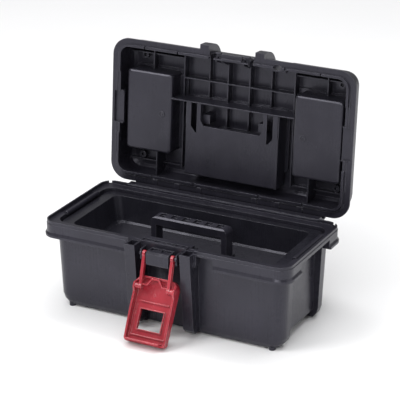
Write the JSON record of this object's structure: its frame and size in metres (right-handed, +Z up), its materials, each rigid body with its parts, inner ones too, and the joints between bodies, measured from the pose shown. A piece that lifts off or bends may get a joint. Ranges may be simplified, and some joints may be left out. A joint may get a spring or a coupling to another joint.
{
  "type": "carpenter toolbox",
  "caption": "Open plastic toolbox: tub, lift-out tray, deep hinged lid with tool pocket and parts bins, folding carry handle and an over-centre front latch.",
  "frame": {"origin": "on the ground, under the middle of the open box's outline, which is 8.7 mm behind the middle of the tub", "axes": "+X to the right seen from the latch side, +Y to the hinge side, +Z up"},
  "size_m": [0.4, 0.3285, 0.3661],
  "materials": {
    "charcoal_plastic": "fine moulded texture",
    "dark_plastic": "fine moulded texture",
    "red_plastic": "semi-gloss",
    "pin_steel": "plain drawn wire"
  },
  "bodies": {
    "tub": {"base_tub": "charcoal_plastic", "hinge_pin_left": "pin_steel", "hinge_pin_right": "pin_steel", "latch_axle": "charcoal_plastic"},
    "lid": {"lid_shell": "charcoal_plastic", "lid_pocket": "charcoal_plastic", "handle_pin_left": "pin_steel", "handle_pin_right": "pin_steel", "cover_pin_left": "pin_steel", "cover_pin_right": "pin_steel"},
    "latch_link": {"latch_link": "red_plastic"},
    "latch_lever": {"latch_lever": "red_plastic", "lever_pin_left": "red_plastic", "lever_pin_right": "red_plastic"},
    "carry_handle": {"carry_handle": "charcoal_plastic"},
    "bin_cover_left": {"bin_cover_left": "dark_plastic"},
    "bin_cover_right": {"bin_cover_right": "dark_plastic"},
    "tray": {"tray": "dark_plastic", "tray_handle": "charcoal_plastic"}
  },
  "joints": [
    {"name": "lid_hinge", "type": "hinge", "parent": "tub", "child": "lid", "pos_m": [0, 0.1073, 0.143], "axis": [-1, 0, 0], "range_deg": [-94.3, 0]},
    {"name": "link_pivot", "type": "hinge", "parent": "tub", "child": "latch_link", "pos_m": [0, -0.1087, 0.1235], "axis": [-1, 0, 0], "range_deg": [-22, 95]},
    {"name": "lever_pivot", "type": "hinge", "parent": "latch_link", "child": "latch_lever", "pos_m": [0, -0.12174, 0.07803], "axis": [1, 0, 0], "range_deg": [-173, 0]},
    {"name": "carry_handle_pivot", "type": "hinge", "parent": "lid", "child": "carry_handle", "pos_m": [0, 0.15639, 0.24511], "axis": [1, 0, 0], "range_deg": [0, 90]},
    {"name": "bin_cover_left_hinge", "type": "hinge", "parent": "lid", "child": "bin_cover_left", "pos_m": [-0.09505, 0.1539, 0.24529], "axis": [0, -0.075, -0.9972], "range_deg": [0, 100]},
    {"name": "bin_cover_right_hinge", "type": "hinge", "parent": "lid", "child": "bin_cover_right", "pos_m": [0.09505, 0.1539, 0.24529], "axis": [0, 0.075, 0.9972], "range_deg": [0, 100]},
    {"name": "tray_lift", "type": "slide", "parent": "tub", "child": "tray", "axis": [0, 0, 1], "range_m": [0, 0.12]}
  ]
}
